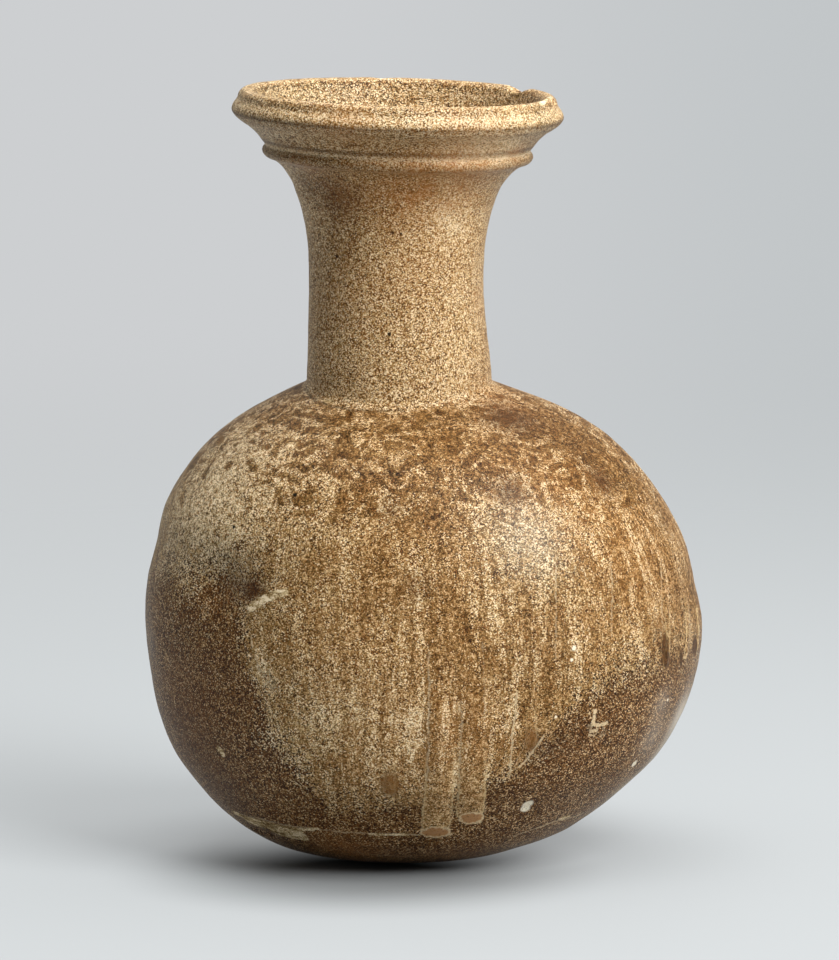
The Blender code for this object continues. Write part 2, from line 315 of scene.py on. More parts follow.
def column_angles():
    """The angles of the outer columns, closer together in front."""
    even = np.linspace(0, math.tau, COLUMNS, endpoint=False)
    # the front, at minus a quarter turn, is where the columns crowd
    angles = even.copy()
    for _ in range(30):
        angles = even + FRONT_SHARE * np.cos(angles + math.pi)
    return angles


# A photo place is an x and a y in the photograph's pixels. The lists below are places on the bottle.

# Runs of thick glaze, as places down the run, with half a width in pixels and a height in metres.
RUNS = (
    (((439, 716), (440, 775), (436, 824)), 14.0, 0.8 * MM),
    (((473, 700), (471, 760), (471, 811)), 14.0, 0.7 * MM),
    (((390, 745), (390, 790)), 6.0, 0.3 * MM),
    (((531, 690), (531, 744)), 5.0, 0.25 * MM),
    (((665, 600), (666, 664)), 4.5, 0.4 * MM),
    (((686, 600), (686, 654)), 5.0, 0.4 * MM),
    (((697, 610), (697, 650)), 4.0, 0.4 * MM),
)
# The torn clay below the dent, and the rough edge of the flake, as places, half a width and a rise.
TORN_EDGES = (
    (((250, 608), (260, 600), (273, 594), (287, 591)), 3.5, 0.6 * MM),
    (((240, 813), (270, 821), (300, 826)), 3.0, 0.3 * MM),
)
# Thin lines in the surface: places, half a width in pixels, and how pale, from 0 to 1.
LINES = (
    # the first line is painted shadow in the groove where the neck is seated
    (((305, 388), (309, 396), (318, 402), (334, 407), (350, 410), (372, 411), (402, 411)), 2.0, 0.0),
    (((545, 735), (520, 767)), 1.1, 0.9),
    (((595, 711), (592, 726)), 1.9, 1.0),
    (((592, 726), (607, 724)), 1.9, 0.9),
    (((587, 731), (597, 730), (606, 732)), 1.7, 0.0),
    (((590, 735), (605, 736)), 0.9, 0.8),
    (((252, 640), (254, 648)), 1.2, 0.9),
    (((256, 660), (263, 674), (273, 690)), 0.8, 0.1),
    (((268, 668), (279, 690)), 0.7, 0.1),
    (((581, 561), (576, 566), (574, 572)), 0.9, 0.1),
    (((233, 812), (254, 817), (277, 823), (304, 827)), 0.8, 0.7),
    (((304, 827), (327, 830), (352, 832), (397, 834), (421, 835)), 0.8, 0.7),
    (((514, 836), (538, 828), (553, 822), (584, 813)), 0.9, 0.8),
    (((357, 852), (411, 856)), 0.7, 0.6),
    (((517, 690), (513, 730), (509, 780)), 0.8, 0.8),
    (((429, 650), (429, 710), (427, 780)), 0.8, 0.55),
    (((461, 700), (458, 800)), 0.6, 0.5),
    (((482, 640), (485, 720)), 0.4, 0.4),
    (((555, 560), (556, 660)), 0.5, 0.6),
    (((610, 560), (612, 640)), 0.5, 0.6),
    (((660, 560), (662, 620)), 0.6, 0.7),
)
# Black pits, and white flecks and small chips, as x, y and a radius in pixels.
PITS = (
    (389, 334, 1.8), (393, 233, 1.5), (401, 234, 1.5), (337, 257, 1.5), (295, 495, 2.4), (398, 474, 2.2),
    (234, 527, 2.0),
)
FLECKS = (
    (574, 648, 2.6), (572, 660, 2.2), (556, 717, 1.6), (668, 700, 1.6), (635, 764, 4.4),
    (528, 805, 6.2), (526, 809, 5.6),
)
# Broken places that show pale sandy clay, as places and half a width in pixels.
BROKEN = (
    (((251, 608), (261, 601), (273, 595), (286, 592)), 4.2),
    (((248, 820), (274, 831), (303, 837)), 7.0),
    (((235, 813), (262, 822), (300, 830)), 3.5),
    (((300, 829), (318, 829)), 2.0),
    (((370, 834), (408, 834)), 2.0),
    (((560, 819), (570, 816)), 2.5),
    (((327, 401), (348, 402)), 2.5),
    (((541, 104), (549, 97)), 3.0),
    (((375, 79), (400, 78)), 1.5),
    (((512, 89), (519, 95)), 3.0),
    (((218, 748), (223, 754)), 3.4),
)
# Shallow chips, as x, y, a radius in pixels and a depth.
SHALLOW_CHIPS = (
    (527, 807, 7.5, 0.5 * MM),
    (635, 764, 4.5, 0.2 * MM),
    (221, 751, 5.0, 0.2 * MM),
)
# Chips out of the lip and the flake at the foot, as the solid has them.
LIP_CHIPS = (
    (math.radians(35.5), (0.0070, 0.0062, 0.0040), 0.0, 0.0018),
    (math.radians(-9.0), (0.0030, 0.0080, 0.0030), 0.0026, 0.0008),
    (math.radians(96.0), (0.0030, 0.0022, 0.0010), 0.0, 0.0006),
    (math.radians(91.0), (0.0030, 0.0012, 0.0008), 0.0, 0.0005),
)
FLAKE_HEIGHT = 0.0105
FLAKE_ANGLE = math.radians(-147)
FLAKE_SIZES = (0.0042, 0.0160, 0.0056)
FLAKE_STANDS_OUT = 0.0031
# Where the ash glaze stops, from the left of the photograph to the right.
GLAZE_EDGE = (
    (150, 562), (175, 570), (212, 576), (228, 588), (237, 612), (248, 650), (262, 698), (285, 750),
    (330, 806), (400, 810), (440, 806), (490, 790), (515, 780), (530, 757), (556, 738), (575, 706),
    (602, 682), (645, 662), (690, 646),
)
GLAZE_EDGE_BEHIND = 0.062  # its height round the back


class Skin:
    """The outer skin as a grid of points, with what is needed to place things on it."""

    def __init__(self, rings, angles):
        self.rings = rings
        self.angles = angles
        self.grid = warped(rings, angles)
        self.facing = self.turned_out()
        self.grid += self.dents()
        self.shape = self.grid.shape[:2]
        self.points = self.grid.reshape(-1, 3)
        self.normals = self.turned_out().reshape(-1, 3)
        self.tree = self.lookup()

    def turned_out(self):
        """The way that each point faces."""
        up = np.gradient(self.grid, axis=0)
        ahead, behind = np.roll(self.grid, -1, axis=1), np.roll(self.grid, 1, axis=1)
        facing = np.cross(ahead - behind, up)
        return facing / np.linalg.norm(facing, axis=2)[:, :, None]

    def dents(self):
        """How far the wet clay was pushed in at each point."""
        moved = np.zeros_like(self.grid)
        for height, angle, across, up, depth in DENTS:
            row = np.argmin(np.abs(self.rings[:, 1] - height))
            column = np.argmin(np.abs((self.angles - angle + math.pi) % math.tau - math.pi))
            away = self.grid - self.grid[row, column]
            level = np.hypot(away[:, :, 0], away[:, :, 1]) / across
            reach = np.exp(-level * level - (away[:, :, 2] / up) ** 2)
            moved -= self.facing[row, column] * depth * reach[:, :, None]
        return moved

    def lookup(self):
        """A tree of the skin's faces, to find where a line of sight meets it."""
        corners = np.arange(len(self.points)).reshape(self.shape)
        return BVHTree.FromPolygons(self.points.tolist(), quads(corners).tolist())

    def at(self, x, y):
        """The point of the skin that the photograph shows at a pixel."""
        eye, sight = line_of_sight(x, y)
        place = self.tree.ray_cast(eye, sight)[0]
        if place is None:
            place = self.tree.find_nearest(eye + sight * CAMERA_DISTANCE)[0]
        return np.array(place)

    def far_from(self, place):
        return np.linalg.norm(self.points - place, axis=1)

    def outside_line(self, pixels, half_width):
        """How far each point is outside a stroke along photo places, below 0 within it."""
        places = [self.at(x, y) for x, y in pixels]
        nearest = np.full(len(self.points), 1.0)
        for start, end in zip(places, places[1:]):
            along = end - start
            share = np.clip((self.points - start) @ along / (along @ along), 0, 1)
            away = self.points - start - share[:, None] * along
            nearest = np.minimum(nearest, np.linalg.norm(away, axis=1))
        return nearest - half_width

    def inside_line(self, pixels, half_width):
        """1 along the middle of a stroke through photo places, falling to 0 at its edge."""
        return np.clip(-self.outside_line(pixels, half_width) / half_width, 0, 1)

    def nearest_line(self, lines):
        """For the line nearest each point: how far across it, how far past an end, its width, how pale."""
        nearest = np.full(len(self.points), 1.0)
        found = np.zeros((4, len(self.points)))
        for pixels, half_width, pale in lines:
            places = [self.at(x, y) for x, y in pixels]
            for k, (start, end) in enumerate(zip(places, places[1:])):
                length = np.linalg.norm(end - start)
                way = (end - start) / length
                away = self.points - start
                along = away @ way
                distance = np.linalg.norm(away - np.clip(along, 0, length)[:, None] * way, axis=1)
                past = np.zeros(len(along))
                if k == 0:
                    past = np.maximum(past, -along)
                if k == len(places) - 2:
                    past = np.maximum(past, along - length)
                across = np.einsum("ij,ij->i", away, np.cross(self.normals, way))
                closer = distance < nearest
                nearest = np.where(closer, distance, nearest)
                found[0, closer] = across[closer]
                found[1, closer] = past[closer]
                found[2, closer] = half_width * PIXEL
                found[3, closer] = pale
        return found

    def brushed(self, strokes):
        """The sum, at each point, of soft round strokes of x, y, radius and amount."""
        total = np.zeros(len(self.points))
        for x, y, radius, amount in strokes:
            total += amount * np.exp(-((self.far_from(self.at(x, y)) / (radius * PIXEL)) ** 2))
        return total


def camera_place():
    back = Vector((0.0, -math.cos(CAMERA_ELEVATION), math.sin(CAMERA_ELEVATION)))
    return CAMERA_AIM + back * CAMERA_DISTANCE


def line_of_sight(x, y):
    """The eye, and the way that it looks at a pixel of the photograph."""
    up = Vector((0.0, math.sin(CAMERA_ELEVATION), math.cos(CAMERA_ELEVATION)))
    eye = camera_place()
    target = CAMERA_AIM.copy()
    target.x += (x - PHOTO_WIDTH / 2) * PIXEL
    target += up * ((PHOTO_HEIGHT / 2 - y) * PIXEL)
    return eye, (target - eye).normalized()


def lattice(points, seed):
    """A steady random number from -1 to 1 for each whole-numbered point."""
    mixed = points @ np.array([127.1, 311.7, 74.7]) + seed * 19.19
    return (np.sin(mixed) * 43758.5453 % 1) * 2 - 1


def lumps(points, size, seed=0):
    """Smooth lumps of about a size, from -1 to 1."""
    scaled = points / size + 0.37 * seed
    base = np.floor(scaled)
    share = eased(scaled - base)
    total = np.zeros(len(points))
    for corner in np.ndindex(2, 2, 2):
        weight = np.prod(np.where(corner, share, 1 - share), axis=1)
        total += weight * lattice(base + corner, seed)
    return total


def relief(skin):
    """How far each point of the skin stands out of the plain outline."""
    height = skin.points[:, 2]
    on_body = 1 - eased((height - BODY_HEIGHT + 0.004) / 0.006)
    off_foot = eased(height / (2.5 * MM))
    out = 0.22 * MM * lumps(skin.points, 0.030, 1) * on_body
    out += 0.10 * MM * lumps(skin.points, 0.011, 2)
    out += 0.05 * MM * lumps(skin.points, 0.0042, 3)
    # rings that the potter's fingers left
    waver = height + 0.6 * MM * lumps(skin.points, 0.03, 4)
    rings = np.sin(math.tau * waver / 0.0071) + 0.6 * np.sin(math.tau * waver / 0.0043)
    out += 0.035 * MM * rings * (0.6 + 0.4 * lumps(skin.points, 0.02, 5))
    for pixels, half_width, rise in RUNS:
        out += rise * np.sqrt(skin.inside_line(pixels, half_width * PIXEL))
    rough = 1 + 0.5 * lumps(skin.points, 1.5 * MM, 6)
    for pixels, half_width, rise in TORN_EDGES:
        out += rise * eased(skin.inside_line(pixels, half_width * PIXEL)) * rough
    for x, y, radius, depth in SHALLOW_CHIPS:
        out -= depth * (1 - eased(skin.far_from(skin.at(x, y)) / (radius * PIXEL) - 0.3))
    return out * off_foot


def chipped(points):
    """The points with the chips taken out of the lip: whatever is in a lump drops to its underside."""
    crest = moulding_curve()[-1:]
    for angle, (out_size, along_size, up_size), out, up in LIP_CHIPS:
        outward = np.array([math.cos(angle), math.sin(angle), 0.0])
        along = np.array([-outward[1], outward[0], 0.0])
        middle = warped(crest, np.array([angle]))[0, 0] + outward * out + np.array([0.0, 0.0, up])
        away = points - middle
        spread = (away @ outward / out_size) ** 2 + (away @ along / along_size) ** 2
        inside = spread + (away[:, 2] / up_size) ** 2 < 1
        floor = middle[2] - up_size * np.sqrt(np.clip(1 - spread, 0, 1))
        floor += 0.35 * MM * lumps(points, 1.6 * MM, 7)
        points[inside, 2] = np.minimum(points[inside, 2], floor[inside])
    return points


def flaked(skin, points):
    """The points with the flake gone from the foot."""
    row = np.argmin(np.abs(skin.rings[:, 1] - FLAKE_HEIGHT))
    column = np.argmin(np.abs((skin.angles - FLAKE_ANGLE + math.pi) % math.tau - math.pi))
    facing = skin.facing[row, column]
    along = np.array([-facing[1], facing[0], 0.0])
    along /= np.linalg.norm(along)
    upward = np.cross(facing, along)
    out_size, along_size, up_size = FLAKE_SIZES
    away = points - (skin.grid[row, column] + facing * FLAKE_STANDS_OUT)
    spread = (away @ along / along_size) ** 2 + (away @ upward / up_size) ** 2
    bottom = -out_size * np.sqrt(np.clip(1 - spread, 0, 1))
    depth = np.clip(away @ facing - bottom, 0, None) * (spread < 1) * (away @ facing > -out_size)
    rough = 0.35 * MM * lumps(points * np.array([1.0, 1.0, 2.5]), 2.4 * MM, 8) * eased(depth / (0.5 * MM))
    return points - (depth + rough)[:, None] * facing


def quads(corners):
    """The faces between one row of corners and the next, all the way round."""
    low, high = corners[:-1], corners[1:]
    return np.stack([low, np.roll(low, -1, 1), np.roll(high, -1, 1), high], axis=2).reshape(-1, 4)


def build_skin():
    """The closed mesh of the bottle, and the outer skin that its finish is worked out on."""
    angles = column_angles()
    rings = outer_rings()
    skin = Skin(rings, angles)
    outer = chipped(flaked(skin, skin.points + skin.normals * relief(skin)[:, None]))
    order = np.argsort(rings[:, 1], kind="stable")
    inner_rings = inner_curve(rings[-1, 1] - INNER_STEP, rings[order])
    inner = warped(inner_rings, angles[::INNER_EVERY]).reshape(-1, 3)
    points = np.concatenate([outer, inner])
    outer_corners = np.arange(len(outer)).reshape(skin.shape)
    inner_corners = np.arange(len(inner)).reshape(len(inner_rings), -1) + len(outer)
    faces = quads(outer_corners).tolist() + quads(inner_corners).tolist()
    faces += bridge(outer_corners[-1], inner_corners[0])
    faces.append(outer_corners[0][::-1].tolist())
    faces.append(inner_corners[-1].tolist())
    mesh = bpy.data.meshes.new("glazed_bottle")
    mesh.from_pydata(points.tolist(), [], faces)
    mesh.shade_smooth()
    piece = bpy.data.objects.new("glazed_bottle", mesh)
    bpy.context.scene.collection.objects.link(piece)
    return piece, skin


def bridge(fine, coarse):
    """The faces between a ring of many columns and one of few."""
    faces = []
    for i, start in enumerate(coarse):
        end = coarse[(i + 1) % len(coarse)]
        span = [int(fine[(i * INNER_EVERY + k) % len(fine)]) for k in range(INNER_EVERY + 1)]
        half = INNER_EVERY // 2
        faces += [(span[k], span[k + 1], int(start)) for k in range(half)]
        faces.append((span[half], int(end), int(start)))
        faces += [(span[k], span[k + 1], int(end)) for k in range(half, INNER_EVERY)]
    return faces


def keep_field(piece, name, values):
    """Stores a value for each point of the outer skin on the mesh, and 0 on the inside."""
    field = piece.data.attributes.new(name, "FLOAT", "POINT")
    padded = np.zeros(len(piece.data.vertices), dtype=np.float32)
    padded[: len(values)] = values
    field.data.foreach_set("value", padded)


def keep_places(piece, name, places):
    """Stores a place for each point of the outer skin on the mesh, for noise to be read at."""
    field = piece.data.attributes.new(name, "FLOAT_VECTOR", "POINT")
    padded = np.zeros((len(piece.data.vertices), 3), dtype=np.float32)
    padded[: len(places)] = places
    field.data.foreach_set("vector", padded.ravel())


def glaze_reach(skin):
    """How far each point is above the edge where the ash glaze stops."""
    places = [skin.at(x, y) for x, y in GLAZE_EDGE]
    turns = [math.atan2(p[1] - BELLY_SET_BACK, p[0] - BELLY_SHIFT) for p in places]
    heights = [p[2] for p in places]
    angles = np.arctan2(skin.points[:, 1] - BELLY_SET_BACK, skin.points[:, 0] - BELLY_SHIFT)
    behind_too = turns + [math.pi / 2], heights + [GLAZE_EDGE_BEHIND]
    edge = np.interp(angles, *behind_too, period=math.tau)
    edge += 7 * MM * lumps(skin.points, 32 * MM, 9) * eased(skin.points[:, 1] / (40 * MM))
    return skin.points[:, 2] - edge


def streak_places(skin):
    """Each point laid out round a drum and drawn in lengthwise, so that noise on it runs down the wall."""
    lengths = np.concatenate([[0.0], np.cumsum(np.linalg.norm(np.diff(skin.rings[:, :2], axis=0), axis=1))])
    up_shoulder = eased((skin.rings[:, 1] - DRUM_NARROWS_FROM) / (DRUM_NARROWS_TO - DRUM_NARROWS_FROM))
    radius = between(BELLY_WIDTH / 2, NECK_WIDTH / 2, up_shoulder)
    x = radius[:, None] * np.cos(skin.angles)[None, :]
    y = radius[:, None] * np.sin(skin.angles)[None, :]
    z = np.repeat(lengths[:, None] * STREAK_DRAW, len(skin.angles), axis=1)
    return np.stack([x, y, z], axis=2).reshape(-1, 3)


def banded(height, bands):
    """The sum, at each height, of soft bands of a height, a reach and an amount."""
    return sum(amount * np.exp(-(((height - up) / reach) ** 2)) for up, reach, amount in bands)


def keep_fields(piece, skin):
    """Everything that the material reads off the mesh."""
    ring_height = np.repeat(skin.rings[:, 1], len(skin.angles))
    neck = eased((ring_height - BODY_HEIGHT + 1.5 * MM) / (3 * MM))
    past_crest = np.arange(len(skin.rings)) - np.argmax(skin.rings[:, 1])
    in_mouth = np.repeat(past_crest > MOUTH_RINGS, len(skin.angles))
    right = np.clip((skin.points[:, 0] - WARM_FROM) / (WARM_TO - WARM_FROM), 0, 1)
    reach = glaze_reach(skin)
    cover = between(BARE_COVER, GLAZED_COVER, eased((reach + GLAZE_BELOW_EDGE) / GLAZE_FADE))
    light = between(BODY_LIGHT, NECK_LIGHT, neck) + banded(ring_height, LIGHT_BANDS)
    glass = between(BODY_GLASS, NECK_GLASS, neck) - MOUTH_DRIER * in_mouth
    shade = banded(ring_height, SHADE_BANDS) * (1 - in_mouth) + skin.brushed(SHADE_STROKES)
    runs = [skin.outside_line(pixels, half_width * PIXEL) for pixels, half_width, rise in RUNS]
    breaks = [skin.outside_line(pixels, half_width * PIXEL) for pixels, half_width in BROKEN]
    fields = {
        "neck": neck,
        "glaze_reach": reach,
        "cover": between(cover + skin.brushed(COVER_STROKES), 1.0, neck),
        "light": light + skin.brushed(LIGHT_STROKES) - MOUTH_DARKER * in_mouth,
        "glass": glass + skin.brushed(GLASS_STROKES),
        "warmth": right + skin.brushed(WARM_STROKES) - MOUTH_COOLER * in_mouth,
        "drawn": BODY_DRAWN * (1 - neck) + skin.brushed(DRAWN_STROKES),
        "pooling": eased((skin.points[:, 2] - POOLS_FROM) / (POOLS_TO - POOLS_FROM)) * (1 - neck),
        "shade": shade.clip(0, MOST_SHADE),
        "rust": skin.brushed(RUST_STROKES).clip(0, MOST_RUST),
        "painted_reflection": skin.brushed(PAINTED_REFLECTION_STROKES),
        "run_edge": np.min(runs, axis=0),
        "break_edge": np.min(breaks, axis=0),
    }
    line_names = ("line_across", "line_past", "line_width", "line_pale")
    fields.update(zip(line_names, skin.nearest_line(LINES)))
    for name, values in fields.items():
        keep_field(piece, name, values)
    keep_places(piece, "down_the_wall", streak_places(skin))


def tone(red, green, blue):
    """A colour given as a screen shows it, in the linear values that a shader takes."""
    levels = [c / 255 for c in (red, green, blue)]
    return (*[c / 12.92 if c <= 0.04045 else ((c + 0.055) / 1.055) ** 2.4 for c in levels], 1.0)


class Nodes:
    """A short way to write a material: each call adds one node and gives back what comes out of it."""

    def __init__(self, tree):
        self.tree = tree
        self.place = self.add("ShaderNodeTexCoord", {}, output="Object")

    def add(self, kind, inputs, output=0, **settings):
        node = self.tree.nodes.new(kind)
        for name, value in settings.items():
            setattr(node, name, value)
        for key, value in inputs.items():
            if isinstance(value, bpy.types.NodeSocket):
                self.tree.links.new(value, node.inputs[key])
            else:
                node.inputs[key].default_value = value
        return node.outputs[output]

    def math(self, operation, a, b=0.0):
        return self.add("ShaderNodeMath", {0: a, 1: b}, operation=operation)

    def plus(self, *values):
        total = values[0]
        for value in values[1:]:
            total = self.math("ADD", total, value)
        return total

    def times(self, a, b):
        return self.math("MULTIPLY", a, b)

    def off(self, value, amount):
        """A noise that averages a half, turned to swing by an amount either side of 0."""
        return self.times(self.math("SUBTRACT", value, 0.5), amount)

    def without(self, a, b):
        """a where b is 0, fading to 0 where b is 1."""
        return self.times(a, self.math("SUBTRACT", 1.0, b))

    def step(self, value, low, high):
        """0 where the value is at low, 1 at high, and smooth between."""
        inputs = {"Value": value, "From Min": low, "From Max": high}
        return self.add("ShaderNodeMapRange", inputs, interpolation_type="SMOOTHSTEP")

    def distance(self, place):
        """How far each point is from a place."""
        ends = {0: self.place, 1: place}
        return self.add("ShaderNodeVectorMath", ends, output="Value", operation="DISTANCE")

    def mix(self, share, a, b):
        return self.add("ShaderNodeMix", {0: share, 6: a, 7: b}, output=2, data_type="RGBA")

    def field(self, name, output="Fac"):
        return self.add("ShaderNodeAttribute", {}, output=output, attribute_name=name)

    def noise(self, size, detail=2.0, roughness=0.5, place=None, warp=0.0):
        inputs = {"Vector": place or self.place, "Scale": 1 / size, "Detail": detail}
        inputs.update({"Roughness": roughness, "Distortion": warp})
        return self.add("ShaderNodeTexNoise", inputs)

    def grains(self, size, output="Red"):
        """Cells of about a size, each with a random value from 0 to 1 in every channel."""
        cells = self.add("ShaderNodeTexVoronoi", {"Vector": self.place, "Scale": 1 / size}, output="Color")
        return self.add("ShaderNodeSeparateColor", {0: cells}, output=output)

    def ramp(self, value, stops):
        colours = self.add("ShaderNodeValToRGB", {0: value})
        elements = colours.node.color_ramp.elements
        elements[0].position, elements[0].color = stops[0][0], tone(*stops[0][1])
        elements[1].position, elements[1].color = stops[-1][0], tone(*stops[-1][1])
        for position, colour in stops[1:-1]:
            elements.new(position).color = tone(*colour)
        return colours


# How the finish varies over the bottle. Each field starts from a few plain values and takes soft round
# strokes: x, y and radius in pixels, and an amount, from the mouth down.
BARE_COVER = -0.48  # the cover is how far the ash hides the clay
GLAZED_COVER = 0.60
GLAZE_BELOW_EDGE = 14 * MM  # the last grains of ash lie this far below the glaze's edge
GLAZE_FADE = 30 * MM  # and from there it thickens over this height
COVER_STROKES = (
    # (252, 588) bares dark clay deep in the dent: partly painted shadow
    (250, 560, 30, -0.1), (252, 588, 12, -1.2), (222, 602, 44, -0.35), (195, 618, 45, 0.22),
    (212, 630, 20, 0.2), (250, 662, 16, 0.3), (268, 665, 28, 0.2), (195, 720, 50, -0.15),
    (266, 735, 20, 0.25), (640, 745, 60, -0.25), (590, 770, 60, -0.12), (580, 790, 50, -0.2),
    (500, 800, 30, -0.4), (448, 822, 26, -0.6), (400, 832, 30, -0.4),
)
BODY_GLASS = 0.02  # the glass is how far the ash has melted to amber and olive glaze
NECK_GLASS = -0.56
MOUTH_DRIER = 0.35
GLASS_STROKES = (
    (456, 186, 20, 0.25), (350, 205, 24, 0.12), (430, 215, 24, 0.3), (400, 236, 14, 0.2),
    # the strokes at x 484 to 486 darken the neck's right edge: painted shade
    (485, 275, 9, 0.8), (486, 335, 9, 0.8), (484, 372, 10, 0.6), (280, 412, 26, 0.25),
    (450, 425, 50, 0.12), (570, 436, 46, 0.5), (300, 440, 45, 0.15), (420, 450, 80, 0.14),
    # the stroke at (530, 545) makes the highlight's place paler: partly pale ash, partly painted highlight
    (622, 482, 30, 0.45), (215, 500, 90, -0.58), (662, 510, 24, 0.3), (530, 545, 60, -0.32),
    (300, 560, 50, -0.02), (640, 560, 60, 0.06), (370, 600, 40, 0.04), (694, 600, 26, 0.8),
    (470, 640, 50, 0.12), (540, 680, 40, 0.1), (290, 700, 40, -0.15), (560, 700, 60, 0.14),
    (350, 740, 70, -0.12),
)
BODY_LIGHT = 0.46  # the light is how pale the grains of ash are, with some painted highlight and shade
NECK_LIGHT = 0.50
MOUTH_DARKER = 0.09
LIGHT_STROKES = (
    (530, 90, 24, -0.14), (450, 118, 60, 0.04), (520, 118, 40, 0.04), (340, 120, 30, 0.05),
    (470, 150, 30, 0.3), (510, 150, 20, 0.35), (240, 160, 60, 0.04), (480, 162, 60, 0.12),
    (420, 185, 60, -0.05), (340, 195, 40, -0.2), (420, 215, 40, -0.05), (452, 215, 26, 0.2),
    # the strokes at x 486 darken the neck's right edge: painted shade
    (430, 228, 40, 0.07), (455, 228, 20, 0.1), (342, 250, 26, -0.1), (486, 250, 12, -0.16),
    (325, 300, 30, -0.07), (400, 300, 50, -0.05), (470, 300, 40, 0.04), (486, 310, 12, -0.22),
    (450, 330, 60, 0.02), (330, 350, 30, -0.05), (486, 355, 14, -0.14), (305, 392, 10, 0.15),
    (452, 392, 22, 0.12), (420, 440, 60, -0.03), (215, 480, 60, 0.08), (215, 490, 80, 0.12),
    # the stroke at (540, 545) makes the highlight's place paler: partly pale ash, partly painted highlight
    (640, 520, 50, 0.05), (195, 540, 24, 0.14), (540, 545, 50, 0.04), (160, 550, 20, 0.12),
    (590, 572, 20, 0.1), (694, 600, 24, -0.3), (424, 640, 12, 0.16), (670, 640, 20, -0.1),
    (665, 650, 14, -0.2), (690, 650, 16, -0.2), (215, 660, 60, 0.04), (257, 660, 22, 0.38),
    (423, 680, 12, 0.24), (421, 720, 12, 0.22), (268, 735, 16, 0.14), (340, 740, 70, 0.1),
    (419, 755, 12, 0.26), (438, 770, 60, 0.11), (330, 785, 18, 0.12), (470, 800, 40, 0.08),
    (275, 830, 24, -0.24),
)
LIGHT_BANDS = (  # round the neck and mouth: a height, a reach up and down, and an amount
    (0.2080, 0.0030, -0.05),
    # the band at 0.2213 is a painted highlight along the top of the ridge
    (0.2213, 0.0007, 0.38),
    (0.2342, 0.0014, 0.10),
    (0.2368, 0.0010, -0.14),
)
WARM_FROM = -0.075  # the warmth is how golden the ash is, and grows from left to right
WARM_TO = -0.010
MOUTH_COOLER = 0.5
WARM_STROKES = (
    (540, 112, 30, -0.6), (400, 118, 40, -0.6), (480, 119, 40, -0.7), (460, 165, 50, 0.6),
    (400, 185, 50, 0.4), (430, 230, 60, 0.5), (480, 430, 60, 0.4), (600, 430, 50, -0.1),
    # the stroke at (530, 545) makes the highlight's place less golden: partly pale ash, partly painted
    # highlight
    (530, 545, 50, -0.9), (340, 640, 60, 0.2), (420, 640, 60, 0.3), (300, 720, 50, -0.3),
    (620, 740, 90, -0.9),
)
BODY_DRAWN = 0.15  # how far the glaze is drawn out in streaks
STREAK_DRAW = 0.12  # the wall's length is drawn in to this share, for noise that runs down it
DRUM_NARROWS_FROM = 0.110
DRUM_NARROWS_TO = 0.140
DRAWN_STROKES = (
    (610, 470, 60, 0.7), (670, 470, 50, 0.8), (640, 560, 70, 1.0), (480, 600, 50, 0.5),
    (380, 620, 50, 0.2), (540, 660, 60, 0.6), (460, 720, 70, 0.7),
)
POOLS_FROM = 0.100  # above here the glaze lies in pools
POOLS_TO = 0.126
MOST_SHADE = 0.9  # the shade: painted shade in hollows and at edges, dirt and darker colour elsewhere, over it all
# painted shade: the lip's chip, the neck's left and right edges, the groove at its seat and the dent
SHADE_STROKES = (
    (541, 104, 4, 0.7), (480, 150, 40, -0.3), (305, 182, 16, 0.35), (330, 192, 24, 0.25),
    (340, 195, 28, 0.24), (486, 300, 10, 0.25), (486, 320, 10, 0.25), (316, 398, 8, 0.3),
    (510, 418, 34, 0.8), (300, 420, 20, 0.2), (250, 445, 34, 0.16), (580, 450, 24, 0.3),
    (602, 480, 18, 0.8), (510, 490, 20, 0.65), (390, 508, 14, 0.3), (662, 520, 20, 0.25),
    (230, 582, 20, 0.3), (420, 585, 16, 0.35), (254, 590, 11, 0.6), (694, 590, 14, 0.3),
    (264, 591, 8, 0.35), (240, 596, 26, 0.35), (680, 600, 24, 0.2), (660, 630, 16, 0.35),
    (540, 650, 40, 0.15), (566, 742, 24, 0.4), (195, 745, 60, 0.4), (538, 752, 16, 0.35),
    (232, 800, 40, 0.3),
)
SHADE_BANDS = (  # painted shade and darker glaze in the hollows of the mouldings and under the flange, as the light bands
    (0.2182, 0.0022, 0.34),
    (0.2195, 0.0005, 0.15),
    (0.2229, 0.0007, 0.58),
    (0.2262, 0.0040, 0.16),
    (0.2292, 0.0005, 0.20),
    (0.2313, 0.0007, 0.60),
)
MOST_RUST = 0.8  # the rust is a stain of iron
RUST_STROKES = (
    (330, 110, 30, 0.1), (350, 135, 30, 0.2), (470, 146, 40, 0.2), (515, 152, 14, 0.32),
    (300, 165, 20, 0.2), (440, 174, 50, 0.3), (480, 180, 30, 0.25), (400, 190, 30, 0.25),
    (345, 195, 26, 0.16), (420, 250, 80, 0.13), (340, 300, 50, 0.1), (480, 300, 20, 0.15),
    (500, 400, 40, 0.15), (560, 500, 60, 0.1), (640, 570, 60, 0.1), (190, 700, 60, 0.08),
    (455, 730, 50, 0.12), (285, 850, 16, 0.4), (350, 852, 40, 0.35), (450, 858, 40, 0.2),
)
PAINTED_REFLECTION_STROKES = (  # painted reflection: a silvery sheen at the edges, mostly on bare clay, and on the highlight
    (530, 540, 36, 0.12), (150, 640, 20, 0.1), (662, 704, 16, 0.2), (686, 720, 26, 0.75),
    (652, 738, 20, 0.22), (660, 757, 20, 0.4), (625, 790, 26, 0.3),
)
MOUTH_RINGS = 2  # the inside of the mouth starts this many rings past the crest of the lip

